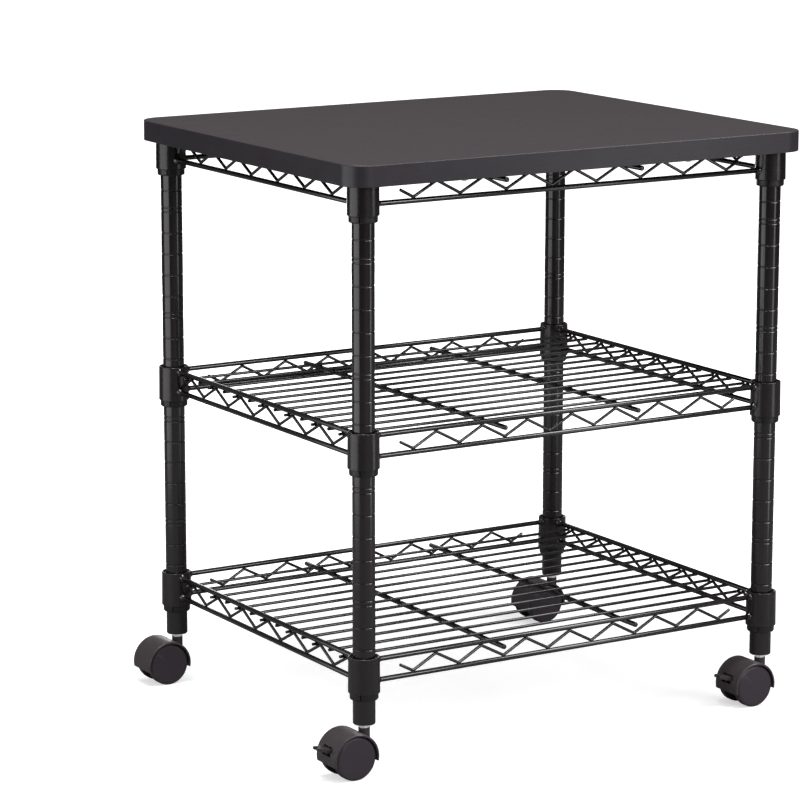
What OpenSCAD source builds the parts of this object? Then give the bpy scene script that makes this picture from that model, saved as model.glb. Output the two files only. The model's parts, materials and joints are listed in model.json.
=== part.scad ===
// Mobile printer stand: a laminated board on four grooved posts, three welded
// wire shelves wedged on split sleeves, and four twin-wheel casters.
// Millimetres, +Z up. Origin on the floor, midway between the four post axes.
// Front is -Y, width runs along X.

/* [Overall] */
// Height of the board's top face above the floor
overall_height = 685.8; // [685.8:25.4:787.4]
// Width of the board, left to right
board_width = 609.6; // [609.6:0.2:660]
// Depth of the board, front to back
board_depth = 508; // [508:0.2:560]
// Radius of the board's corners in plan
board_corner_radius = 28; // [20:1:40]
// Distance between post axes across the width
post_spacing_x = 549.3; // [549.3:0.1:551]
// Distance between post axes front to back
post_spacing_y = 444.5; // [444.5:0.1:446]

/* [Shelves] */
// How many 25.4 mm groove steps the middle shelf sits below the top one
middle_steps = 11; // [8:1:13]
// How many 25.4 mm groove steps the bottom shelf sits below the top one
bottom_steps = 21; // [18:1:21]
// Diameter of the perimeter rails
rail_diameter = 6; // [5.8:0.2:6]
// Diameter of the zigzag wires
truss_diameter = 3.6; // [3.5:0.1:3.6]
// Diameter of the deck wires
deck_diameter = 3.6; // [3.2:0.1:3.6]

/* [Posts and casters] */
// Outside diameter of the posts
post_diameter = 25.4; // [25:0.1:25.4]
// Wall thickness of the post tube
post_wall = 1.2; // [1:0.1:1.6]
// Diameter of each caster wheel
wheel_diameter = 50; // [48:0.5:50]
// How far the wheel axle trails behind the swivel axis
caster_trail = 21; // [19:0.5:22]
// How far the brake levers tip up when released, in degrees
lever_tilt = 13; // [11:1:14]

/* [Hidden] */
$fn = 64;
step = 25.4;
eps = 0.01;
H = overall_height;
sx = post_spacing_x / 2;
sy = post_spacing_y / 2;
corners = [[-sx, -sy], [sx, -sy], [-sx, sy], [sx, sy]];

// board stack
board_t = 24;
under_z = H - 15.8;
band_t = 1;

// posts
post_r = post_diameter / 2;
post_id = post_r - post_wall;
post_bot = 59;
post_top = under_z - 1.4;
groove_top = H - 32.7;
groove_w = 1.8;
groove_d = 0.45;

// shelves
collar_h = 41;
collar_rb = 18;
collar_rt = 17.6;
top_z = groove_top + 16;
mid_z = top_z - middle_steps * step;
bot_z = top_z - bottom_steps * step;
rail_r = rail_diameter / 2;
truss_r = truss_diameter / 2;
deck_r = deck_diameter / 2;
rail_hi = -6;
rail_lo = -30;
deck_dz = rail_hi - rail_r - deck_r;
rib_dz = deck_dz - deck_r - rail_r;
half_front = 30.15;
half_side = 30.3;
deck_pitch = 30.35;
deck_first = -208.4;
rib_x = 91;

// casters
wr = wheel_diameter / 2;
axle_z = wr;
axle_r = 4;
run = 0.06;
web_y = 6;
wheel_in = 10.5;
wheel_w = 9.5;
boss = 2.1;
hood_y = 21;
hood_ri = wr + 1.2;
hood_ro = wr + 3.6;
neck_r = 6.5;
neck_top = 54.4;
stem_r = 4;
lug = [16, 8];

// slope of a mitred zigzag that just touches the rail above and the rail below
zig_gap = rail_hi - rail_lo - 2 * rail_r;
function slope(p, n = 5) = n == 0 ? atan((zig_gap - 2 * truss_r) / p)
    : atan((zig_gap - 2 * truss_r / cos(slope(p, n - 1))) / p);
a_front = slope(half_front);
a_side = slope(half_side);

module at_corners() {
    for (c = corners) translate([c[0], c[1], 0]) children();
}

// ---------- board ----------

// plate with true round corners
module round_plate(w, d, r, z0, z1) {
    translate([-w / 2 + r, -d / 2, z0]) cube([w - 2 * r, d, z1 - z0]);
    for (s = [-1, 1])
        translate([s * (w / 2 - r / 2) - r / 2, -d / 2 + r, z0]) cube([r, d - 2 * r, z1 - z0]);
    for (k = [0 : 3]) {
        px = (k == 0 || k == 3) ? 1 : -1;
        py = (k < 2) ? 1 : -1;
        translate([px * (w / 2 - r), py * (d / 2 - r), z0])
            rotate([0, 0, 90 * k]) rotate_extrude(angle = 90) square([r, z1 - z0]);
    }
}

clip_x = 5 * half_front;
clip_at = [[-clip_x, -sy, 1], [clip_x, -sy, 1], [-clip_x, sy, -1], [clip_x, sy, -1]];

// composite board core with pilot holes on its underside
module top_panel() {
    color("#46434A")
    difference() {
        round_plate(board_width - 2 * band_t, board_depth - 2 * band_t, board_corner_radius - band_t, under_z, H);
        for (c = clip_at)
            translate([c[0], c[1] - c[2] * 8.5, under_z - 1]) cylinder(r = 2, h = 13);
    }
}

// strips that build the board's edge up to its full visible depth
module panel_edge_strips() {
    color("#3A383E")
    difference() {
        round_plate(board_width - 2 * band_t, board_depth - 2 * band_t, board_corner_radius - band_t, H - board_t, under_z);
        round_plate(board_width - 22, board_depth - 22, board_corner_radius - 11, H - board_t - 1, under_z + 1);
    }
}

// thin band wrapped round the whole edge
module panel_edge_band() {
    color("#4C4B52")
    difference() {
        round_plate(board_width, board_depth, board_corner_radius, H - board_t, H);
        round_plate(board_width - 2 * band_t, board_depth - 2 * band_t, board_corner_radius - band_t, H - board_t - 1, H + 1);
    }
}

// saddle clips that hold the board down on the top shelf's front and back rails
module panel_clips() {
    color("#222226")
    for (c = clip_at)
        translate([c[0], c[1], 0])
            difference() {
                translate([-7, c[2] > 0 ? -13.5 : -4.5, top_z + rail_hi - 3.6])
                    cube([14, 18, under_z - (top_z + rail_hi - 3.6)]);
                translate([-8, 0, top_z + rail_hi]) rotate([0, 90, 0]) cylinder(r = rail_r, h = 16);
                translate([-8, -2, top_z + rail_hi - 5]) cube([16, 4, 5]);
                translate([0, -c[2] * 8.5, 0]) translate([0, 0, top_z - 12]) cylinder(r = 2, h = 30);
            }
}

// pan-head screws through the clips into the board
module panel_screws() {
    color("#9A9CA0")
    for (c = clip_at)
        translate([c[0], c[1] - c[2] * 8.5, top_z + rail_hi - 3.6])
            rotate_extrude() polygon([[0, -2.2], [2.6, -2.2], [3.8, -1.2], [3.8, 0], [2, 0],
                [2, 16.4], [0, 18.4]]);
}

// ---------- posts ----------

function level(k) = groove_top - step * (k - 3);
n_grooves = floor((groove_top + 0 - 92) / step);
grooves = [for (k = [n_grooves : -1 : 0])
    for (d = (k >= 3 && (k - 3) % 5 == 0) ? [0, 5.2] : [0]) groove_top - step * k + d];

// one tube, grooved every 25.4 mm and double grooved every fifth step
module post() {
    rotate_extrude()
        polygon(concat(
            [[post_id, post_bot], [post_r - 0.4, post_bot], [post_r, post_bot + 0.4]],
            [for (g = grooves) for (q = [[0, -0.9], [groove_d, -0.5], [groove_d, 0.5], [0, 0.9]])
                [post_r - q[0], g + q[1]]],
            [[post_r, post_top], [post_id, post_top]]));
}

module post_front_left() { color("#2B2829") translate([-sx, -sy, 0]) post(); }
module post_front_right() { color("#2B2829") translate([sx, -sy, 0]) post(); }
module post_back_left() { color("#2B2829") translate([-sx, sy, 0]) post(); }
module post_back_right() { color("#2B2829") translate([sx, sy, 0]) post(); }

// plastic plugs that close the posts under the board
module post_caps() {
    color("#1D1D1F")
    at_corners()
        rotate_extrude() polygon([[0, post_top - 10], [post_id - 1, post_top - 10], [post_id, post_top - 9],
            [post_id, post_top], [post_r, post_top], [post_r, under_z - 0.3], [post_r - 0.3, under_z], [0, under_z]]);
}

// threaded steel plugs pressed into the post bottoms
module caster_sockets() {
    color("#8E9094")
    at_corners()
        rotate_extrude() polygon([[5, post_bot], [post_id, post_bot], [post_id, post_bot + 16], [5, post_bot + 16]]);
}

// ---------- shelves ----------

// solid outline of one collar, used to cope wire ends against it
module collar_body(z) {
    translate([0, 0, z - collar_h]) cylinder(r1 = collar_rb + 0.0076, r2 = collar_rt + 0.1117, h = collar_h);
}

// tapered sockets at the four corners of a shelf
module collars(z) {
    color("#2A2728")
    at_corners()
        translate([0, 0, z - collar_h])
            rotate_extrude() polygon([[15.8, 0], [17.6, 0], [collar_rb, 0.5], [17.72, 39.3], [17.45, 40.3],
                [16.9, 40.85], [16.3, 41], [14.75, 41], [14.37, 40.4]]);
}

// a split sleeve: two tapered half shells whose inner rib sits in a post groove
module sleeve_half(z) {
    gap = 2.2;
    translate([0, 0, z - collar_h])
        rotate([0, 0, gap]) rotate_extrude(angle = 180 - 2 * gap)
            polygon([[13.4, -7.6], [15.5, -7.6], [16.15, -6.6], [16.15, -0.6], [15.75, -0.05], [14.33, 39.2], [13.7, 39.9],
                [post_r + 0.05, 39.9], [post_r + 0.05, 25.7], [post_r - 0.3, 25.35], [post_r - 0.3, 24.65],
                [post_r + 0.05, 24.3], [post_r + 0.05, -7]]);
}

module sleeves(z) {
    color("#1E1D20")
    at_corners()
        for (h = [0, 180]) rotate([0, 0, 45 + h]) sleeve_half(z);
}

// one rail, welded at both ends, turned about its own axis
module rail(half, reach) {
    b0 = half - 17.7 - 3;
    rotate([0, 90, 0]) rotate_extrude() polygon([[0, -reach], [rail_r + 1, -reach], [rail_r + 1, -b0 - 2],
        [rail_r + 0.6, -b0 - 0.9], [rail_r, -b0], [rail_r, b0], [rail_r + 0.6, b0 + 0.9], [rail_r + 1, b0 + 2],
        [rail_r + 1, reach], [0, reach]]);
}

// upper and lower rails on all four sides, coped to the collars
module rails(z) {
    color("#2C292A")
    for (dz = [rail_hi, rail_lo])
        for (s = [-1, 1]) {
            difference() {
                translate([0, s * sy, z + dz]) rail(sx, sx - 15);
                for (e = [-1, 1]) translate([e * sx, s * sy, 0]) collar_body(z);
            }
            difference() {
                translate([s * sx, 0, z + dz]) rotate([0, 0, 90]) rail(sy, sy - 15);
                for (e = [-1, 1]) translate([s * sx, e * sy, 0]) collar_body(z);
            }
        }
}

// one leg of a zigzag in the XZ plane, mitred upright at x0 and x1 unless that end is free
module leg(x0, z0, x1, z1, free0 = false, free1 = false) {
    a = atan2(z1 - z0, x1 - x0);
    e0 = free0 ? 0 : 3;
    e1 = free1 ? 0 : 3;
    l = sqrt(pow(x1 - x0, 2) + pow(z1 - z0, 2));
    intersection() {
        translate([x0 - e0 * cos(a), 0, z0 - e0 * sin(a)]) rotate([0, 90 - a, 0])
            cylinder(r = truss_r, h = l + e0 + e1);
        translate([x0 - (free0 ? 4 : 0), -3, min(z0, z1) - 6])
            cube([x1 - x0 + (free0 ? 4 : 0) + (free1 ? 4 : 0), 6, abs(z1 - z0) + 12]);
    }
}

// zigzag wire: vertices i0..i1 at x = x_off + i * p, even ones at the top rail,
// with end legs running run0 and run1 beyond the outer vertices
module zigzag(i0, i1, p, a, x_off, run0, run1) {
    hi = rail_hi - rail_r - truss_r / cos(a);
    lo = rail_lo + rail_r + truss_r / cos(a);
    function vz(i) = i % 2 == 0 ? hi : lo;
    function vs(i) = i % 2 == 0 ? -1 : 1;
    for (i = [i0 : i1 - 1])
        leg(x_off + i * p, vz(i), x_off + (i + 1) * p, vz(i + 1));
    leg(x_off + i0 * p - run0, vz(i0) + vs(i0) * run0 * tan(a), x_off + i0 * p, vz(i0), free0 = true);
    leg(x_off + i1 * p, vz(i1), x_off + i1 * p + run1, vz(i1) + vs(i1) * run1 * tan(a), free1 = true);
}

side_off = -5.2;

// zigzag wires between the rails; front and back ones have free ends
module trusses(z) {
    color("#302D2E") {
        for (s = [-1, 1])
            translate([0, s * sy, z]) zigzag(-7, 7, half_front, a_front, 0, 17, 17);
        for (s = [-1, 1])
            difference() {
                translate([s * sx, 0, z]) rotate([0, 0, 90])
                    zigzag(-6, 6, half_side, a_side, side_off, sy - 181.8 - 12, sy - 181.8 - 5);
                for (e = [-1, 1]) translate([s * sx, e * sy, 0]) collar_body(z);
            }
    }
}

// deck wires across the width, hung under the side rails, ends staggered
module deck(z) {
    color("#343132")
    difference() {
        for (k = [0 : 13])
            translate([-sx - (k % 2 == 1 ? 5.6 : 2), deck_first + k * deck_pitch, z + deck_dz])
                rotate([0, 90, 0]) cylinder(r = deck_r, h = 2 * sx + 7.6);
        for (e = [-1, 1]) {
            translate([e * sx, -sy, 0]) collar_body(z);
            translate([e * (sx + 10) - 10, deck_first - 3, z + deck_dz - 3]) cube([20, 6, 6]);
        }
    }
}

// two stiffening ribs under the deck wires
module ribs(z) {
    color("#2A2728")
    for (s = [-1, 1])
        translate([s * rib_x, 0, z + rib_dz]) rotate([90, 0, 0]) cylinder(r = rail_r, h = 2 * sy + 6.5, center = true);
}

module top_shelf_collars() { collars(top_z); }
module top_shelf_sleeves() { sleeves(top_z); }
module top_shelf_rails() { rails(top_z); }
module top_shelf_trusses() { trusses(top_z); }
module top_shelf_deck_wires() { deck(top_z); }
module top_shelf_ribs() { ribs(top_z); }
module middle_shelf_collars() { collars(mid_z); }
module middle_shelf_sleeves() { sleeves(mid_z); }
module middle_shelf_rails() { rails(mid_z); }
module middle_shelf_trusses() { trusses(mid_z); }
module middle_shelf_deck_wires() { deck(mid_z); }
module middle_shelf_ribs() { ribs(mid_z); }
module bottom_shelf_collars() { collars(bot_z); }
module bottom_shelf_sleeves() { sleeves(bot_z); }
module bottom_shelf_rails() { rails(bot_z); }
module bottom_shelf_trusses() { trusses(bot_z); }
module bottom_shelf_deck_wires() { deck(bot_z); }
module bottom_shelf_ribs() { ribs(bot_z); }

// ---------- casters ----------

// zinc stem: swivel pin below, flange under the post, thread above
module stem() {
    color("#B9BCC2")
    rotate_extrude() polygon([[0, 34], [3.4, 34], [stem_r, 34.6], [stem_r, neck_top], [5.6, neck_top], [5.6, post_bot - 2.6],
        [6.6, post_bot - 1.9], [11.6, post_bot - 0.9], [12, post_bot], [5, post_bot], [5, post_bot + 24], [4.2, post_bot + 25], [0, post_bot + 25]]);
}

// ring sector about the wheel axle, angles up from -X, y half width hy
module sector(r0, r1, a0, a1, hy) {
    translate([-caster_trail, 0, axle_z]) rotate([90, 0, 0]) rotate([0, 0, 180 - a1])
        rotate_extrude(angle = a1 - a0) translate([r0, -hy]) square([r1 - r0, 2 * hy]);
}

// one-piece moulded body: fender over both wheels, centre web, neck for the stem
module hood(brake) {
    color("#38343A")
    difference() {
        union() {
            translate([-caster_trail, 0, axle_z]) rotate([90, 0, 0]) rotate([0, 0, -11])
                rotate_extrude(angle = 204)
                    polygon([[7, -web_y], [hood_ri, -web_y], [hood_ri, -hood_y], [hood_ro - 0.9, -hood_y],
                        [hood_ro, -hood_y + 0.9], [hood_ro, hood_y - 0.9], [hood_ro - 0.9, hood_y], [hood_ri, hood_y],
                        [hood_ri, web_y], [7, web_y]]);
            translate([-caster_trail, 0, axle_z]) rotate([90, 0, 0]) cylinder(r = 9.6, h = 2 * web_y + 1.4, center = true);
            translate([0, 0, 31.3]) cylinder(r = neck_r, h = neck_top - 31.3);
        }
        translate([0, 0, 33.8]) cylinder(r = stem_r + run, h = 30);
        translate([-caster_trail, 0, axle_z]) rotate([90, 0, 0]) cylinder(r = axle_r, h = 30, center = true);
        if (brake) {
            sector(13.6, hood_ri + 0.2, 7, 41, 3);
            sector(wr + 0.2, hood_ro + 2, 8, 30, 9.8);
            translate([-caster_trail - lug[0], 0, axle_z + lug[1]]) rotate([90, 0, 0]) cylinder(r = 1.5, h = 30, center = true);
        }
    }
}

// steel pin fixed in the web; the wheels run on its ends
module axle() {
    color("#9EA1A6")
    translate([-caster_trail, 0, axle_z]) rotate([90, 0, 0]) cylinder(r = axle_r, h = 2 * (wheel_in + 6.9), center = true);
}

// one wheel: closed outer disc, rounded tread, hub with a blind bore; side +1 = back, -1 = front
module wheel(side) {
    color("#3E3A41")
    translate([-caster_trail, side * wheel_in, axle_z]) rotate([-90 * side, 0, 0])
        rotate_extrude() polygon([[0, 7.1], [0, wheel_w], [wr - 4.5, wheel_w], [wr - 2.1, wheel_w - 0.2], [wr - 0.8, wheel_w - 0.9],
            [wr - 0.15, wheel_w - 1.9], [wr, wheel_w - 2.9], [wr, 1.2], [wr - 0.3, 0.4], [wr - 1, 0], [wr - 2.8, 0],
            [wr - 2.8, 5.3], [8, 5.3], [8, -boss], [axle_r + run, -boss], [axle_r + run, 7.1]]);
}

// rocking brake lever with a forked foot tab
module lever() {
    color("#2F2C31")
    translate([-caster_trail - lug[0], 0, axle_z + lug[1]]) rotate([0, 180, 0]) rotate([0, lever_tilt, 0])
        difference() {
            union() {
                rotate([90, 0, 0]) cylinder(r = 3.4, h = 5.2, center = true);
                translate([0, -2.6, -2]) cube([10, 5.2, 4]);
                difference() {
                    translate([0, 8.5, 0]) rotate([90, 0, 0]) linear_extrude(17)
                        polygon([[9, -2.4], [9, 2.4], [14, 2.5], [26.5, 1.5], [26.5, -1.7], [14, -2.6]]);
                    translate([0, 0, -5]) linear_extrude(10) polygon([[21.5, 0], [30, 4.6], [30, -4.6]]);
                    for (s = [-1, 1]) translate([0, 0, -5]) linear_extrude(10)
                        polygon([[15, s * 9], [30, s * 9], [30, s * 4.8]]);
                }
            }
            rotate([90, 0, 0]) cylinder(r = 1.5 + run, h = 30, center = true);
        }
}

// steel pin the lever rocks on
module lever_pin() {
    color("#9EA1A6")
    translate([-caster_trail - lug[0], 0, axle_z + lug[1]]) rotate([90, 0, 0]) cylinder(r = 1.5, h = 2 * web_y, center = true);
}

module caster_front_left_stem() { translate([-sx, -sy, 0]) stem(); }
module caster_front_left_hood() { translate([-sx, -sy, 0]) hood(true); }
module caster_front_left_axle() { translate([-sx, -sy, 0]) axle(); }
module caster_front_left_wheel_front() { translate([-sx, -sy, 0]) wheel(-1); }
module caster_front_left_wheel_back() { translate([-sx, -sy, 0]) wheel(1); }
module caster_front_left_brake_lever() { translate([-sx, -sy, 0]) lever(); }
module caster_front_left_lever_pin() { translate([-sx, -sy, 0]) lever_pin(); }
module caster_front_right_stem() { translate([sx, -sy, 0]) stem(); }
module caster_front_right_hood() { translate([sx, -sy, 0]) hood(true); }
module caster_front_right_axle() { translate([sx, -sy, 0]) axle(); }
module caster_front_right_wheel_front() { translate([sx, -sy, 0]) wheel(-1); }
module caster_front_right_wheel_back() { translate([sx, -sy, 0]) wheel(1); }
module caster_front_right_brake_lever() { translate([sx, -sy, 0]) lever(); }
module caster_front_right_lever_pin() { translate([sx, -sy, 0]) lever_pin(); }
module caster_back_left_stem() { translate([-sx, sy, 0]) stem(); }
module caster_back_left_hood() { translate([-sx, sy, 0]) hood(false); }
module caster_back_left_axle() { translate([-sx, sy, 0]) axle(); }
module caster_back_left_wheel_front() { translate([-sx, sy, 0]) wheel(-1); }
module caster_back_left_wheel_back() { translate([-sx, sy, 0]) wheel(1); }
module caster_back_right_stem() { translate([sx, sy, 0]) stem(); }
module caster_back_right_hood() { translate([sx, sy, 0]) hood(false); }
module caster_back_right_axle() { translate([sx, sy, 0]) axle(); }
module caster_back_right_wheel_front() { translate([sx, sy, 0]) wheel(-1); }
module caster_back_right_wheel_back() { translate([sx, sy, 0]) wheel(1); }

top_panel();
panel_edge_strips();
panel_edge_band();
panel_clips();
panel_screws();
post_front_left();
post_front_right();
post_back_left();
post_back_right();
post_caps();
caster_sockets();
top_shelf_collars();
top_shelf_sleeves();
top_shelf_rails();
top_shelf_trusses();
top_shelf_deck_wires();
top_shelf_ribs();
middle_shelf_collars();
middle_shelf_sleeves();
middle_shelf_rails();
middle_shelf_trusses();
middle_shelf_deck_wires();
middle_shelf_ribs();
bottom_shelf_collars();
bottom_shelf_sleeves();
bottom_shelf_rails();
bottom_shelf_trusses();
bottom_shelf_deck_wires();
bottom_shelf_ribs();
caster_front_left_stem();
caster_front_left_hood();
caster_front_left_axle();
caster_front_left_wheel_front();
caster_front_left_wheel_back();
caster_front_left_brake_lever();
caster_front_left_lever_pin();
caster_front_right_stem();
caster_front_right_hood();
caster_front_right_axle();
caster_front_right_wheel_front();
caster_front_right_wheel_back();
caster_front_right_brake_lever();
caster_front_right_lever_pin();
caster_back_left_stem();
caster_back_left_hood();
caster_back_left_axle();
caster_back_left_wheel_front();
caster_back_left_wheel_back();
caster_back_right_stem();
caster_back_right_hood();
caster_back_right_axle();
caster_back_right_wheel_front();
caster_back_right_wheel_back();
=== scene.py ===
import bpy
import bmesh
import json
import math
from mathutils import Vector, Matrix

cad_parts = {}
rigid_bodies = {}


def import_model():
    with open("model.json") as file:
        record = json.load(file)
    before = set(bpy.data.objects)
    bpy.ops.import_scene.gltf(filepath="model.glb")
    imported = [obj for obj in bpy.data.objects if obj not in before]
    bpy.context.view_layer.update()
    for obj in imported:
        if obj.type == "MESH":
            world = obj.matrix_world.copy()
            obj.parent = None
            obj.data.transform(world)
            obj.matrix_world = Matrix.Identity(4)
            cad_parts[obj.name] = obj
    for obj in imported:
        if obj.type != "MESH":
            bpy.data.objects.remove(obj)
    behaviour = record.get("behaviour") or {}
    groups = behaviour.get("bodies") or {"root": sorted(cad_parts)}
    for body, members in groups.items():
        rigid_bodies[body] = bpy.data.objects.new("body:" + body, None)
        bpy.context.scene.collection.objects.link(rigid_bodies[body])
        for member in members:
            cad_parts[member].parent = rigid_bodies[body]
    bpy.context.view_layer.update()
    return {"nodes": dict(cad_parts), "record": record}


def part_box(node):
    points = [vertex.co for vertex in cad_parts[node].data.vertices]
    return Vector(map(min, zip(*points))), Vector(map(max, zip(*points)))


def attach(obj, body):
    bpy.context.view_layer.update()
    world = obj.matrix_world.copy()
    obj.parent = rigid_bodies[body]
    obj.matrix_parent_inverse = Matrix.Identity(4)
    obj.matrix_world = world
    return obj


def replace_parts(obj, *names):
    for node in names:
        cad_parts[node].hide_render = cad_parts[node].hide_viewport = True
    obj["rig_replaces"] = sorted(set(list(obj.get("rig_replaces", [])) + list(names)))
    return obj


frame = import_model()
MM = 0.001


# ---------------------------------------------------------------- mesh helpers

class Build:
    """Collects vertices and faces, in millimetres, for one object."""

    def __init__(self):
        self.v, self.f = [], []

    def add(self, verts, faces):
        b = len(self.v)
        self.v += [tuple(p) for p in verts]
        self.f += [tuple(b + i for i in f) for f in faces]

    def obj(self, name, mat, sharp=34.0, weighted=True):
        me = bpy.data.meshes.new(name)
        me.from_pydata([(x * MM, y * MM, z * MM) for x, y, z in self.v], [], self.f)
        bm = bmesh.new()
        bm.from_mesh(me)
        bmesh.ops.remove_doubles(bm, verts=bm.verts, dist=1e-7)
        bmesh.ops.recalc_face_normals(bm, faces=bm.faces)
        for f in bm.faces:
            f.smooth = True
        lim = math.radians(sharp)
        for e in bm.edges:
            e.smooth = len(e.link_faces) == 2 and e.calc_face_angle(0.0) < lim
        bm.to_mesh(me)
        bm.free()
        me.materials.append(mat)
        o = bpy.data.objects.new(name, me)
        bpy.context.scene.collection.objects.link(o)
        if weighted:
            m = o.modifiers.new("weighted_normal", "WEIGHTED_NORMAL")
            m.keep_sharp = True
            m.weight = 80
        return o


def rounded(pts, n=4):
    """Profile points (x, y) or (x, y, radius); a corner with a radius becomes an arc."""
    out, m = [], len(pts)
    for i, p in enumerate(pts):
        r = p[2] if len(p) > 2 else 0
        if not r:
            out.append((p[0], p[1]))
            continue
        a, c, b = Vector(pts[i - 1][:2]), Vector(p[:2]), Vector(pts[(i + 1) % m][:2])
        u, w = (a - c).normalized(), (b - c).normalized()
        half = math.acos(max(-1, min(1, u.dot(w)))) / 2
        t = min(r / math.tan(half), 0.49 * (a - c).length, 0.49 * (b - c).length)
        rr = t * math.tan(half)
        mid = (u + w).normalized()
        ctr = c + mid * (rr / math.sin(half))
        s, e = c + u * t - ctr, c + w * t - ctr
        a0, a1 = math.atan2(s.y, s.x), math.atan2(e.y, e.x)
        d = (a1 - a0 + math.pi) % (2 * math.pi) - math.pi
        for k in range(n + 1):
            q = a0 + d * k / n
            out.append((ctr.x + rr * math.cos(q), ctr.y + rr * math.sin(q)))
    return out


def lathe(b, prof, origin, axis="Z", segs=64, a0=0.0, a1=360.0, closed=True):
    """Turns (r, h) points about an axis through origin. closed joins the last point to the first."""
    full = abs(a1 - a0) >= 359.999
    n = segs if full else segs + 1
    m = len(prof)
    verts, faces = [], []
    for j in range(n):
        t = math.radians(a0 + (a1 - a0) * j / segs)
        c, s = math.cos(t), math.sin(t)
        for r, h in prof:
            if axis == "Z":
                p = (r * c, r * s, h)
            elif axis == "Y":
                p = (r * c, h, r * s)
            else:
                p = (h, r * c, r * s)
            verts.append((origin[0] + p[0], origin[1] + p[1], origin[2] + p[2]))
    rng = range(m) if closed else range(m - 1)
    for j in range(n if full else n - 1):
        k = (j + 1) % n
        for i in rng:
            i2 = (i + 1) % m
            if prof[i][0] < 1e-6 and prof[i2][0] < 1e-6:
                continue
            quad = [j * m + i, j * m + i2, k * m + i2, k * m + i]
            if prof[i][0] < 1e-6:
                quad = [j * m + i, j * m + i2, k * m + i2]
            elif prof[i2][0] < 1e-6:
                quad = [j * m + i, j * m + i2, k * m + i]
            faces.append(quad)
    if not full and closed:
        faces.append([i for i in range(m)])
        faces.append([(n - 1) * m + i for i in reversed(range(m))])
    b.add(verts, faces)


def fillet_path(pts, rad, n=6):
    """Rounds the inner corners of a 3D polyline."""
    P = [Vector(p) for p in pts]
    out = [P[0]]
    for i in range(1, len(P) - 1):
        u, w = (P[i - 1] - P[i]).normalized(), (P[i + 1] - P[i]).normalized()
        half = math.acos(max(-1, min(1, u.dot(w)))) / 2
        if half > math.pi / 2 - 1e-4:
            out.append(P[i])
            continue
        t = rad / math.tan(half)
        mid = (u + w).normalized()
        ctr = P[i] + mid * (rad / math.sin(half))
        s, e = P[i] + u * t - ctr, P[i] + w * t - ctr
        ang = s.angle(e)
        ax = s.cross(e).normalized()
        for k in range(n + 1):
            out.append(ctr + Matrix.Rotation(ang * k / n, 3, ax) @ s)
    out.append(P[-1])
    return out


def tube(b, pts, r, sides=14, cut=0.35, phase=0.0):
    """Round wire along a path, with softly sheared ends."""
    P = [Vector(p) for p in pts]
    d0, d1 = (P[1] - P[0]).normalized(), (P[-1] - P[-2]).normalized()
    path = [(P[0], r - cut, d0), (P[0] + d0 * cut * 0.35, r - cut * 0.3, d0), (P[0] + d0 * cut, r, d0)]
    for i in range(1, len(P) - 1):
        path.append((P[i], r, ((P[i] - P[i - 1]).normalized() + (P[i + 1] - P[i]).normalized()).normalized()))
    path += [(P[-1] - d1 * cut, r, d1), (P[-1] - d1 * cut * 0.35, r - cut * 0.3, d1), (P[-1], r - cut, d1)]
    ref = Vector((0, 0, 1)) if abs(d0.z) < 0.9 else Vector((1, 0, 0))
    nrm = d0.cross(ref).normalized()
    verts, faces, prev = [], [], d0
    for q, rr, d in path:
        rot = prev.rotation_difference(d)
        nrm = (rot @ nrm).normalized()
        nrm = (nrm - d * nrm.dot(d)).normalized()
        bn = d.cross(nrm)
        prev = d
        for k in range(sides):
            a = 2 * math.pi * k / sides + phase
            verts.append(q + nrm * (rr * math.cos(a)) + bn * (rr * math.sin(a)))
    m = len(path)
    for i in range(m - 1):
        for k in range(sides):
            k2 = (k + 1) % sides
            faces.append([i * sides + k, i * sides + k2, (i + 1) * sides + k2, (i + 1) * sides + k])
    faces.append(list(reversed(range(sides))))
    faces.append([(m - 1) * sides + k for k in range(sides)])
    b.add(verts, faces)


def blob(b, c, rx, ry, rz, rows=6, cols=10):
    """A small weld nugget."""
    verts, faces = [(c[0], c[1], c[2] + rz)], []
    for i in range(1, rows):
        t = math.pi * i / rows
        for k in range(cols):
            a = 2 * math.pi * k / cols
            verts.append((c[0] + rx * math.sin(t) * math.cos(a), c[1] + ry * math.sin(t) * math.sin(a), c[2] + rz * math.cos(t)))
    verts.append((c[0], c[1], c[2] - rz))
    last = len(verts) - 1
    for k in range(cols):
        k2 = (k + 1) % cols
        faces.append([0, 1 + k, 1 + k2])
        for i in range(rows - 2):
            a, c2 = 1 + i * cols, 1 + (i + 1) * cols
            faces.append([a + k, c2 + k, c2 + k2, a + k2])
        faces.append([1 + (rows - 2) * cols + k, last, 1 + (rows - 2) * cols + k2])
    b.add(verts, faces)


def weld_ring(b, at, axis, r, size, seed):
    """Lumpy fillet weld round a rail where it meets a collar; axis points from the collar along the rail."""
    ax = Vector(axis).normalized()
    ref = Vector((0, 0, 1))
    n1 = ax.cross(ref).normalized()
    n2 = ax.cross(n1)
    segs, prof = 20, [(r - 0.6, size * 1.35), (r + 0.10, size * 1.25), (r + size * 0.34, size * 0.86),
                      (r + size * 0.72, size * 0.42), (r + size * 0.95, 0.0), (r + size * 0.9, -1.4), (r - 0.6, -1.4)]
    verts, faces = [], []
    for j in range(segs):
        t = 2 * math.pi * j / segs
        k = 1 + 0.16 * math.sin(2 * t + seed) + 0.13 * math.sin(5 * t + 2.1 * seed) + 0.07 * math.sin(9 * t + seed * 3.7)
        for pr, ph in prof:
            rr = r + (pr - r) * k if pr > r else pr
            hh = ph * (0.82 + 0.18 * k) if ph > 0 else ph
            verts.append(Vector(at) + n1 * (rr * math.cos(t)) + n2 * (rr * math.sin(t)) + ax * hh)
    m = len(prof)
    for j in range(segs):
        j2 = (j + 1) % segs
        for i in range(m):
            i2 = (i + 1) % m
            faces.append([j * m + i, j * m + i2, j2 * m + i2, j2 * m + i])
    b.add(verts, faces)


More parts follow.
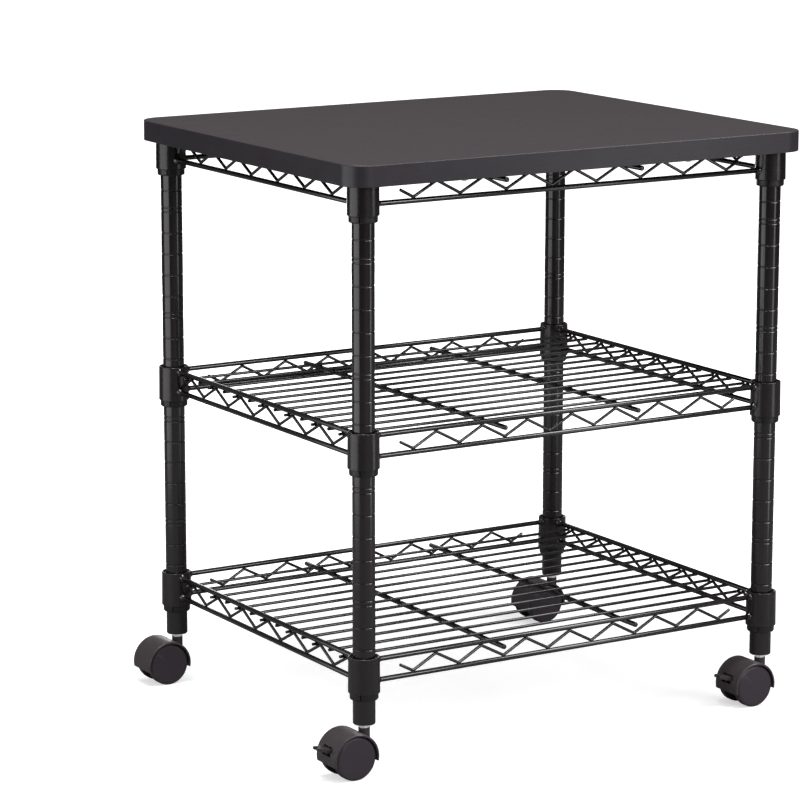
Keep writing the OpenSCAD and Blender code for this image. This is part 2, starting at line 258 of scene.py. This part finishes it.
def rrect(w, d, r, n=14):
    """Rounded rectangle loop, anticlockwise from the right."""
    out = []
    for cx, cy, a in ((w / 2 - r, d / 2 - r, 0), (-w / 2 + r, d / 2 - r, 90), (-w / 2 + r, -d / 2 + r, 180), (w / 2 - r, -d / 2 + r, 270)):
        for k in range(n + 1):
            t = math.radians(a + 90 * k / n)
            out.append((cx + r * math.cos(t), cy + r * math.sin(t)))
    return out


def stacked(b, w, d, r, prof, cx=0.0, cy=0.0, cap_first=False, cap_last=False, closed=False):
    """Rounded-rectangle loops at (inset, z) profile points."""
    loops = []
    for ins, z in prof:
        loops.append([(cx + x, cy + y, z) for x, y in rrect(w - 2 * ins, d - 2 * ins, max(r - ins, 0.5))])
    n = len(loops[0])
    verts = [p for lp in loops for p in lp]
    faces = []
    m = len(loops)
    for i in range(m if closed else m - 1):
        i2 = (i + 1) % m
        for k in range(n):
            k2 = (k + 1) % n
            faces.append([i * n + k, i * n + k2, i2 * n + k2, i2 * n + k])
    if cap_first:
        faces.append(list(reversed(range(n))))
    if cap_last:
        faces.append([(m - 1) * n + k for k in range(n)])
    b.add(verts, faces)


# ---------------------------------------------------------------- materials

def material(name, base, rough, metallic=0.0, spec=0.5, grain=900.0, bump=0.06, mottle=0.12,
             coat=0.0, coat_rough=0.1, dust=0.0, scratches=0.0, edge_wear_and_highlight=0.0, orange=0.0, rough_drift=0.18, streaks=0.0, painted_glow=0.0):
    """Principled finish with procedural colour drift, roughness breakup, fine bump, dust, edge wear mixed with a
    painted edge highlight, and an optional painted glow.
    """
    m = bpy.data.materials.new(name)
    m.use_nodes = True
    nt = m.node_tree
    N, L = nt.nodes, nt.links
    bs = N["Principled BSDF"]
    bs.inputs["Metallic"].default_value = metallic
    bs.inputs["Specular IOR Level"].default_value = spec
    bs.inputs["Coat Weight"].default_value = coat
    bs.inputs["Coat Roughness"].default_value = coat_rough
    # Painted glow: a white emission that stands in for light from the bright surroundings; the surface is not a lamp.
    bs.inputs["Emission Color"].default_value = (1.0, 1.0, 1.0, 1)
    bs.inputs["Emission Strength"].default_value = painted_glow
    tc = N.new("ShaderNodeTexCoord")

    def noise(scale, detail=3.0, rough_=0.55):
        n = N.new("ShaderNodeTexNoise")
        n.inputs["Scale"].default_value = scale
        n.inputs["Detail"].default_value = detail
        n.inputs["Roughness"].default_value = rough_
        L.new(tc.outputs["Object"], n.inputs["Vector"])
        return n

    def ramp(src, lo, hi, a, c):
        r = N.new("ShaderNodeMapRange")
        r.inputs["From Min"].default_value = lo
        r.inputs["From Max"].default_value = hi
        r.inputs["To Min"].default_value = a
        r.inputs["To Max"].default_value = c
        L.new(src, r.inputs["Value"])
        return r

    def mix(fac, a, c):
        x = N.new("ShaderNodeMix")
        x.data_type = "RGBA"
        if hasattr(fac, "links"):
            L.new(fac, x.inputs["Factor"])
        else:
            x.inputs["Factor"].default_value = fac
        for sock, val in ((x.inputs[6], a), (x.inputs[7], c)):
            if hasattr(val, "links"):
                L.new(val, sock)
            else:
                sock.default_value = (*val, 1.0)
        return x.outputs[2]

    big = noise(14.0)
    col = mix(ramp(big.outputs["Fac"], 0.3, 0.7, 0, 1).outputs[0],
              tuple(c * (1 - mottle) for c in base), tuple(min(1, c * (1 + mottle)) for c in base))
    fine = noise(grain, 2.0)
    col = mix(ramp(fine.outputs["Fac"], 0.35, 0.65, 0, 0.35).outputs[0], col, tuple(min(1, c * 1.35) for c in base))
    if streaks:
        mq = N.new("ShaderNodeMapping")
        mq.inputs["Scale"].default_value = (6, 6, 420)
        L.new(tc.outputs["Object"], mq.inputs["Vector"])
        st = N.new("ShaderNodeTexNoise")
        st.inputs["Scale"].default_value = 2.0
        st.inputs["Detail"].default_value = 4.0
        L.new(mq.outputs[0], st.inputs["Vector"])
        col = mix(ramp(st.outputs["Fac"], 0.4, 0.7, 0.0, streaks).outputs[0], col, tuple(min(1, c * 1.9) for c in base))
    if dust:
        geo = N.new("ShaderNodeNewGeometry")
        sep = N.new("ShaderNodeSeparateXYZ")
        L.new(geo.outputs["Normal"], sep.inputs[0])
        up = ramp(sep.outputs["Z"], 0.2, 1.0, 0.0, dust)
        dn = noise(60.0, 4.0)
        mul = N.new("ShaderNodeMath")
        mul.operation = "MULTIPLY"
        L.new(up.outputs[0], mul.inputs[0])
        L.new(ramp(dn.outputs["Fac"], 0.35, 0.7, 0.3, 1.0).outputs[0], mul.inputs[1])
        col = mix(mul.outputs[0], col, (0.32, 0.30, 0.29))
    # Convex edges found by pointiness are lightened: partly edge wear, partly a painted highlight on arrises and groove
    # lips.
    if edge_wear_and_highlight:
        geo2 = N.new("ShaderNodeNewGeometry")
        wear_and_highlight_mask = ramp(geo2.outputs["Pointiness"], 0.515, 0.60, 0.0, edge_wear_and_highlight)
        col = mix(wear_and_highlight_mask.outputs[0], col, tuple(min(1, c * 3.0 + 0.02) for c in base))
    L.new(col, bs.inputs["Base Color"])
    rn = noise(35.0, 4.0)
    rr = ramp(rn.outputs["Fac"], 0.3, 0.7, max(0.04, rough * (1 - rough_drift)), min(1, rough * (1 + rough_drift)))
    if scratches:
        mp = N.new("ShaderNodeMapping")
        mp.inputs["Scale"].default_value = (1, 40, 1)
        L.new(tc.outputs["Object"], mp.inputs["Vector"])
        sn = N.new("ShaderNodeTexNoise")
        sn.inputs["Scale"].default_value = 120
        L.new(mp.outputs[0], sn.inputs["Vector"])
        ad = N.new("ShaderNodeMath")
        ad.operation = "ADD"
        L.new(rr.outputs[0], ad.inputs[0])
        L.new(ramp(sn.outputs["Fac"], 0.6, 0.8, 0.0, scratches).outputs[0], ad.inputs[1])
        L.new(ad.outputs[0], bs.inputs["Roughness"])
    else:
        L.new(rr.outputs[0], bs.inputs["Roughness"])
    bp = N.new("ShaderNodeBump")
    bp.inputs["Strength"].default_value = bump
    bp.inputs["Distance"].default_value = 0.0004
    L.new(fine.outputs["Fac"], bp.inputs["Height"])
    last = bp
    if orange:
        on = noise(260.0, 1.0)
        b2 = N.new("ShaderNodeBump")
        b2.inputs["Strength"].default_value = orange
        b2.inputs["Distance"].default_value = 0.0006
        L.new(on.outputs["Fac"], b2.inputs["Height"])
        L.new(bp.outputs[0], b2.inputs["Normal"])
        last = b2
    L.new(last.outputs[0], bs.inputs["Normal"])
    return m


# edge_wear_and_highlight lightens convex edges: partly wear, partly a painted highlight such as the hood rim line and
# groove glints.
MAT = {
    "board_laminate": material("board_laminate_finish", (0.036, 0.031, 0.033), 0.46, grain=1700, bump=0.16, mottle=0.015, spec=0.30, rough_drift=0.08),
    "board_core": material("board_core_finish", (0.020, 0.018, 0.020), 0.6, grain=700, bump=0.3, mottle=0.1),
    "edge_band": material("edge_band_finish", (0.0245, 0.0215, 0.0265), 0.36, grain=1100, bump=0.10, mottle=0.05, edge_wear_and_highlight=0.16, streaks=0.22, rough_drift=0.1),
    "post_coat": material("post_coat_finish", (0.0062, 0.0036, 0.0038), 0.18, spec=0.8, grain=1300, bump=0.05, orange=0.035, edge_wear_and_highlight=0.10, rough_drift=0.12),
    "collar_coat": material("collar_coat_finish", (0.0066, 0.0040, 0.0043), 0.25, spec=0.7, grain=1100, bump=0.10, orange=0.22, edge_wear_and_highlight=0.10, rough_drift=0.15),
    "wire_coat": material("wire_coat_finish", (0.0062, 0.0040, 0.0045), 0.20, spec=1.0, grain=1500, bump=0.05, orange=0.03, rough_drift=0.12),
    "sleeve_plastic": material("sleeve_plastic_finish", (0.0088, 0.0070, 0.0072), 0.34, grain=1200, bump=0.10),
    "black_plastic": material("black_plastic_finish", (0.008, 0.008, 0.009), 0.45, grain=1200, bump=0.15),
    "caster_plastic": material("caster_plastic_finish", (0.0480, 0.0395, 0.0430), 0.38, grain=1000, bump=0.14, mottle=0.06, dust=0.02, edge_wear_and_highlight=0.22, rough_drift=0.15),
    "wheel_plastic": material("wheel_plastic_finish", (0.0375, 0.0290, 0.0375), 0.40, grain=1000, bump=0.14, mottle=0.08, edge_wear_and_highlight=0.22, rough_drift=0.15),
    "lever_plastic": material("lever_plastic_finish", (0.0240, 0.0195, 0.0230), 0.42, grain=1000, bump=0.14, edge_wear_and_highlight=0.2),
    # The zinc glows faintly: painted light standing in for the bright surroundings it would reflect where the post
    # shades it.
    "zinc": material("zinc_finish", (0.90, 0.91, 0.93), 0.24, metallic=1.0, grain=500, bump=0.10, mottle=0.04, scratches=0.12, painted_glow=0.22),
    "steel": material("steel_finish", (0.50, 0.51, 0.53), 0.33, metallic=1.0, grain=800, bump=0.08, scratches=0.2),
}
SLOT = {s["node"]: s["material_slot"] for s in frame["record"]["subparts"]}
BODY = {n: b for b, ns in frame["record"]["behaviour"]["bodies"].items() for n in ns}


def place(o, *nodes):
    """The piece stands for the nodes and rides with their body."""
    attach(o, BODY[nodes[0]])
    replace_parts(o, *nodes)
    return o


def box(n):
    lo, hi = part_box(n)
    return [c / MM for c in lo], [c / MM for c in hi]


# ---------------------------------------------------------------- board

lo, hi = box("panel_edge_band")
BW, BD, BZ0, BZ1 = hi[0] - lo[0], hi[1] - lo[1], lo[2], hi[2]
plo, phi = box("top_panel")
R = 28.0
b = Build()
stacked(b, BW, BD, R, [(1.0, BZ0 + 0.02), (0.7, BZ0 + 0.02), (0.3, BZ0 + 0.12), (0.08, BZ0 + 0.36), (0, BZ0 + 0.8), (0, BZ1 - 1.3),
                       (0.07, BZ1 - 0.85), (0.27, BZ1 - 0.45), (0.6, BZ1 - 0.2), (1.0, BZ1 - 0.14)], closed=True)
place(b.obj("edge_band", MAT["edge_band"]), "panel_edge_band")
b = Build()
stacked(b, BW, BD, R, [(1.0, plo[2]), (1.0, BZ1 - 0.22), (1.12, BZ1 - 0.07), (1.4, BZ1)], cap_first=True, cap_last=True)
place(b.obj("board_top", MAT["board_laminate"]), "top_panel")
b = Build()
stacked(b, BW, BD, R, [(1.0, BZ0 + 0.1), (1.0, plo[2]), (11.0, plo[2]), (11.0, BZ0 + 0.6), (10.6, BZ0 + 0.1)], closed=True)
place(b.obj("board_edge_strips", MAT["board_core"]), "panel_edge_strips")

# ---------------------------------------------------------------- posts

_, chi = box("top_shelf_collars")
G0 = chi[2] - 16.0
POST = {}
for n in ("front_left", "front_right", "back_left", "back_right"):
    lo, hi = box("post_" + n)
    cx, cy, r = (lo[0] + hi[0]) / 2, (lo[1] + hi[1]) / 2, (hi[0] - lo[0]) / 2
    POST[n] = (cx, cy)
    z0, z1 = lo[2], hi[2]
    prof = [(r - 1.2, z0 + 12), (r - 1.2, z0 + 0.3), (r - 1.0, z0), (r - 0.45, z0), (r - 0.12, z0 + 0.14), (r, z0 + 0.5)]
    gs = []
    for k in range(22, -1, -1):
        g = G0 - 25.4 * k
        gs.append(g)
        if k >= 3 and (k - 3) % 5 == 0:
            gs.append(g + 5.2)
    for g in gs:
        for dr, dz in ((0, -1.5), (0, -1.12), (0.07, -0.93), (0.36, -0.64), (0.44, -0.46), (0.45, -0.3), (0.45, 0.3), (0.44, 0.46), (0.36, 0.64), (0.07, 0.93), (0, 1.12), (0, 1.5)):
            prof.append((r - dr, g + dz))
    prof += [(r, z1 - 0.4), (r - 0.15, z1 - 0.1), (r - 0.4, z1), (r - 1.2, z1)]
    b = Build()
    lathe(b, prof, (cx, cy, 0), segs=72)
    place(b.obj("post_tube_" + n, MAT["post_coat"], sharp=60), "post_" + n)

# ---------------------------------------------------------------- shelves

SX = POST["front_right"][0]
SY = POST["back_left"][1]
lo, hi = box("middle_shelf_ribs")
RR = (hi[2] - lo[2]) / 2
RIBX = hi[0] - RR
lo_r, hi_r = lo, hi
dlo, dhi = box("middle_shelf_deck_wires")
DR = (dhi[2] - dlo[2]) / 2
HALF_F, HALF_S, SIDE_OFF = 30.15, 30.3, -5.2
TR = box("middle_shelf_trusses")[1][1] - SY

for s in ("top", "middle", "bottom"):
    clo, chi = box(s + "_shelf_collars")
    zt, zb = chi[2], clo[2]
    # collars
    b = Build()
    prof = rounded([(15.8, zb), (18.0, zb, 0.55), (17.6, zt, 1.5), (16.1, zt, 0.9), (15.0, zt - 1.0, 0.8), (14.37, zt - 3.0, 0.6)], 4)
    for n in POST:
        lathe(b, prof, (*POST[n], 0), segs=72)
    place(b.obj(s + "_collars", MAT["collar_coat"]), s + "_shelf_collars")
    # sleeves
    slo, shi = box(s + "_shelf_sleeves")
    z0, z1 = slo[2], shi[2]
    b = Build()
    prof = rounded([(12.75, z0 + 0.5, 0.3), (13.4, z0, 0.3), (15.35, z0, 0.5), (16.15, z0 + 1.2, 0.6), (16.15, zb - 0.5, 0.3), (15.72, zb - 0.05),
                    (14.3, zt - 1.9), (13.7, z1, 0.3), (12.75, z1, 0.2)], 3)
    for n in POST:
        for h in (45, 225):
            lathe(b, prof, (*POST[n], 0), segs=30, a0=h + 2.3, a1=h + 177.7)
    place(b.obj(s + "_split_sleeves", MAT["sleeve_plastic"]), s + "_shelf_sleeves")
    # rails
    rlo, rhi = box(s + "_shelf_rails")
    zr = (zt - 6.0, zt - 30.0)
    b = Build()
    seed = 0
    for z in zr:
        rc = 17.6 + 0.4 * (zt - z) / 41.0
        for e in (-1, 1):
            tube(b, [(-SX + rc - 1.0, e * SY, z), (SX - rc + 1.0, e * SY, z)], RR, sides=18)
            tube(b, [(e * SX, -SY + rc - 1.0, z), (e * SX, SY - rc + 1.0, z)], RR, sides=18)
            for f in (-1, 1):
                seed += 1
                weld_ring(b, (f * (SX - rc), e * SY, z), (-f, 0, 0), RR, 2.3, seed * 1.7)
                weld_ring(b, (e * SX, f * (SY - rc), z), (0, -f, 0), RR, 2.3, seed * 2.3)
    place(b.obj(s + "_rail_wires", MAT["wire_coat"], sharp=50, weighted=False), s + "_shelf_rails")
    # zigzag trusses
    b = Build()
    hi_z, lo_z = zr[0] - RR - TR + 0.25, zr[1] + RR + TR - 0.25
    rho = 4.2

    def slope(p):
        a = math.atan((hi_z - lo_z) / p)
        for _ in range(8):
            a = math.atan((hi_z - lo_z + 2 * rho * (1 / math.cos(a) - 1)) / p)
        return a

    def zig(i0, i1, p, off, run0, run1, put):
        a = slope(p)
        up, dn = hi_z + rho * (1 / math.cos(a) - 1), lo_z - rho * (1 / math.cos(a) - 1)
        zz = lambda i: up if i % 2 == 0 else dn
        sg = lambda i: -1 if i % 2 == 0 else 1
        pts = [put(off + i0 * p - run0, zz(i0) + sg(i0) * run0 * math.tan(a))]
        pts += [put(off + i * p, zz(i)) for i in range(i0, i1 + 1)]
        pts += [put(off + i1 * p + run1, zz(i1) + sg(i1) * run1 * math.tan(a))]
        tube(b, fillet_path(pts, rho, 7), TR, sides=14)
        for i in range(i0, i1 + 1):
            c = put(off + i * p, (hi_z + TR - 0.1) if i % 2 == 0 else (lo_z - TR + 0.1))
            q = put(off + i * p + 1, c[2])
            w = 2.3 if abs(q[0] - c[0]) > 0.5 else 1.15
            blob(b, c, w, 3.45 - w, 0.55)

    for e in (-1, 1):
        zig(-7, 7, HALF_F, 0.0, 17.0, 17.0, lambda u, z, e=e: (u, e * SY, z))
        ce = SY - 17.9
        zig(-6, 6, HALF_S, SIDE_OFF, -(-ce - 0.6 - (SIDE_OFF - 6 * HALF_S)), ce + 0.6 - (SIDE_OFF + 6 * HALF_S),
            lambda u, z, e=e: (e * SX, u, z))
    place(b.obj(s + "_zigzag_wires", MAT["wire_coat"], sharp=50, weighted=False), s + "_shelf_trusses")
    # deck wires
    b = Build()
    wlo, whi = box(s + "_shelf_deck_wires")
    zd = (wlo[2] + whi[2]) / 2
    y0, y1 = wlo[1] + DR, whi[1] - DR
    for k in range(14):
        y = y0 + (y1 - y0) * k / 13
        xa, xb = (wlo[0], whi[0] - 3.6) if k % 2 == 1 else (wlo[0] + 3.6, whi[0])
        if k == 0:
            off = math.sqrt(17.75 ** 2 - (SY + y) ** 2)
            xa, xb = -SX + off - 0.3, SX - off + 0.3
        tube(b, [(xa, y, zd), (xb, y, zd)], DR, sides=14)
        for xr in (-RIBX, RIBX):
            blob(b, (xr, y, zd - DR + 0.05), 1.6, 1.3, 0.6)
        if k:
            for xr in (-SX, SX):
                blob(b, (xr, y, zd + DR - 0.05), 1.5, 1.4, 0.6)
    place(b.obj(s + "_deck_wires", MAT["wire_coat"], sharp=50, weighted=False), s + "_shelf_deck_wires")
    # ribs
    b = Build()
    blo, bhi = box(s + "_shelf_ribs")
    for e in (-1, 1):
        tube(b, [(e * RIBX, blo[1], (blo[2] + bhi[2]) / 2), (e * RIBX, bhi[1], (blo[2] + bhi[2]) / 2)], RR, sides=18, cut=0.6)
    place(b.obj(s + "_rib_wires", MAT["wire_coat"], sharp=50, weighted=False), s + "_shelf_ribs")

# ---------------------------------------------------------------- casters

BOSS = 2.1

for c in POST:
    cx, cy = POST[c]
    # wheels
    for w, sg in (("front", -1), ("back", 1)):
        node = f"caster_{c}_wheel_{w}"
        lo, hi = box(node)
        ax, az, r = (lo[0] + hi[0]) / 2, (lo[2] + hi[2]) / 2, (hi[0] - lo[0]) / 2
        yi = (lo[1] if sg > 0 else hi[1]) + sg * BOSS
        w = abs((hi[1] if sg > 0 else lo[1]) - yi)
        prof = rounded([(0, w - 2.4), (0, w - 0.03), (r - 4.2, w - 0.02, 1.2), (r - 1.9, w - 0.25, 1.0), (r - 0.25, w - 1.5, 1.2), (r, w - 3.2, 1.0), (r, 0.5, 0.6),
                        (r - 0.5, 0.0, 0.4), (r - 2.8, 0.0, 0.3), (r - 2.8, w - 4.2, 0.8), (8, w - 4.2, 0.8), (8, -BOSS, 0.3), (4.06, -BOSS, 0.1), (4.06, w - 2.4)], 4)
        b = Build()
        lathe(b, [(p, yi + sg * h) for p, h in prof], (ax, 0, az), axis="Y", segs=96)
        place(b.obj(f"{node}_disc", MAT["wheel_plastic"], sharp=40), node)
    # stem with its zinc flange
    node = f"caster_{c}_stem"
    lo, hi = box(node)
    z0, z1 = lo[2], hi[2]
    fz = box("post_" + c)[0][2]
    fr = (hi[0] - lo[0]) / 2
    prof = [(0, z0), (3.4, z0), (4.0, z0 + 0.6), (4.0, fz - 4.6), (5.5, fz - 4.6), (5.6, fz - 4.45), (5.6, fz - 2.6), (5.9, fz - 2.25), (6.6, fz - 1.9), (fr - 1.2, fz - 1.2),
            (fr - 0.35, fz - 0.9), (fr - 0.05, fz - 0.5), (fr, fz - 0.03), (5.0, fz)]
    z = fz + 1.0
    while z < z1 - 2.0:
        prof += [(5.0, z), (4.55, z + 0.5), (4.55, z + 0.7), (5.0, z + 1.2)]
        z += 1.5
    prof += [(4.2, z1), (0, z1)]
    b = Build()
    lathe(b, prof, (cx, cy, 0), segs=48, closed=False)
    place(b.obj(f"{node}_turned", MAT["zinc"], sharp=30), node)

# ---------------------------------------------------------------- CAD nodes that stay

def dress(node, bevel=0.0, segments=3):
    o = frame["nodes"][node]
    o.data.materials.clear()
    o.data.materials.append(MAT[SLOT[node]])
    for p in o.data.polygons:
        p.use_smooth = True
        p.material_index = 0
    w = o.modifiers.new("weld", "WELD")
    w.merge_threshold = 1e-6
    if bevel:
        m = o.modifiers.new("bevel", "BEVEL")
        m.width = bevel * MM
        m.segments = segments
        m.limit_method = "ANGLE"
        m.angle_limit = math.radians(38)
        m.use_clamp_overlap = True
        m.harden_normals = False
    sm = o.modifiers.new("wn", "WEIGHTED_NORMAL")
    sm.keep_sharp = True
    sm.weight = 60


shown = set()
for o in bpy.context.scene.objects:
    if "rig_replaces" in o:
        shown |= set(o["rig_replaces"])
for node in frame["nodes"]:
    if node in shown:
        continue
    if node.endswith("_hood"):
        dress(node, 0.45)
    elif node.endswith("_lever"):
        dress(node, 0.4)
    else:
        dress(node, 0.12, 2)

# ---------------------------------------------------------------- set

def floor_material():
    m = bpy.data.materials.new("floor_finish")
    m.use_nodes = True
    nt = m.node_tree
    N, L = nt.nodes, nt.links
    bs = N["Principled BSDF"]
    bs.inputs["Roughness"].default_value = 0.8
    bs.inputs["Specular IOR Level"].default_value = 0.1
    lp = N.new("ShaderNodeLightPath")
    mx = N.new("ShaderNodeMix")
    mx.data_type = "RGBA"
    mx.inputs[6].default_value = (0.22, 0.22, 0.22, 1)
    mx.inputs[7].default_value = (0.94, 0.94, 0.94, 1)
    L.new(lp.outputs["Is Camera Ray"], mx.inputs["Factor"])
    L.new(mx.outputs[2], bs.inputs["Base Color"])
    bs.inputs["Emission Color"].default_value = (1, 1, 1, 1)
    ml = N.new("ShaderNodeMath")
    ml.operation = "MULTIPLY"
    tc = N.new("ShaderNodeTexCoord")
    ln = N.new("ShaderNodeVectorMath")
    ln.operation = "LENGTH"
    L.new(tc.outputs["Object"], ln.inputs[0])
    far = N.new("ShaderNodeMapRange")
    far.inputs["From Min"].default_value = 0.5
    far.inputs["From Max"].default_value = 2.0
    far.inputs["To Min"].default_value = 0.56
    far.inputs["To Max"].default_value = 1.3
    L.new(ln.outputs["Value"], far.inputs["Value"])
    L.new(far.outputs[0], ml.inputs[1])
    L.new(lp.outputs["Is Camera Ray"], ml.inputs[0])
    L.new(ml.outputs[0], bs.inputs["Emission Strength"])
    grit = N.new("ShaderNodeTexNoise")
    grit.inputs["Scale"].default_value = 40.0
    L.new(tc.outputs["Object"], grit.inputs["Vector"])
    gb = N.new("ShaderNodeBump")
    gb.inputs["Strength"].default_value = 0.02
    L.new(grit.outputs["Fac"], gb.inputs["Height"])
    L.new(gb.outputs[0], bs.inputs["Normal"])
    return m


fb = Build()
S = 30000.0
fb.add([(-S, -S, 0), (S, -S, 0), (S, S, 0), (-S, S, 0)], [[0, 1, 2, 3]])
floor = fb.obj("floor", floor_material())

world = bpy.data.worlds.new("studio")
bpy.context.scene.world = world
world.use_nodes = True
WN, WL = world.node_tree.nodes, world.node_tree.links
bg = WN["Background"]
lpw = WN.new("ShaderNodeLightPath")
mw = WN.new("ShaderNodeMix")
mw.data_type = "RGBA"
mw.inputs[6].default_value = (0.12, 0.115, 0.122, 1)
mw.inputs[7].default_value = (1.0, 1.0, 1.0, 1)
WL.new(lpw.outputs["Is Camera Ray"], mw.inputs["Factor"])
WL.new(mw.outputs[2], bg.inputs["Color"])
bg.inputs["Strength"].default_value = 1.0


def area(name, loc, target, sx, sy, power, color=(1, 1, 1)):
    d = bpy.data.lights.new(name, "AREA")
    d.shape = "RECTANGLE"
    d.size, d.size_y = sx, sy
    d.energy = power
    d.color = color
    o = bpy.data.objects.new(name, d)
    o.location = loc
    o.rotation_euler = (Vector(target) - Vector(loc)).to_track_quat("-Z", "Y").to_euler()
    o.visible_camera = False
    bpy.context.scene.collection.objects.link(o)
    return o


area("key_soft", (1.75, -1.45, 2.55), (0, 0, 0.4), 1.35, 1.35, 46)
area("front_fill", (0.1, -3.7, 1.7), (0, 0, 0.35), 1.6, 1.2, 50)
area("top_small", (-0.5, -0.35, 3.0), (0, 0, 0.3), 0.8, 0.8, 56)
area("top_soft", (-0.3, 0.3, 3.0), (0, 0, 0.3), 2.4, 2.4, 26)
area("left_panel", (-1.55, 0.08, 0.45), (-0.27, -0.22, 0.45), 1.6, 1.0, 7.6)
area("right_strip", (0.66, -1.05, 0.40), (-0.27, -0.22, 0.40), 0.26, 0.95, 1.35)
area("back_low", (0.9, 2.9, 0.36), (0, 0, 0.36), 1.6, 0.6, 10.0)

cam_d = bpy.data.cameras.new("photo_camera")
cam_d.sensor_width = 36.0
cam_d.lens = 154.43
cam_d.clip_end = 100.0
cam = bpy.data.objects.new("photo_camera", cam_d)
cam.location = (-2.14979, -3.36866, 1.17136)
tgt = Vector((-0.0369, 0.0906, 0.3450))
cam.rotation_euler = (tgt - Vector(cam.location)).to_track_quat("-Z", "Y").to_euler()
bpy.context.scene.collection.objects.link(cam)
bpy.context.scene.camera = cam
bpy.context.scene.view_settings.view_transform = "Standard"
bpy.context.scene.view_settings.look = "None"
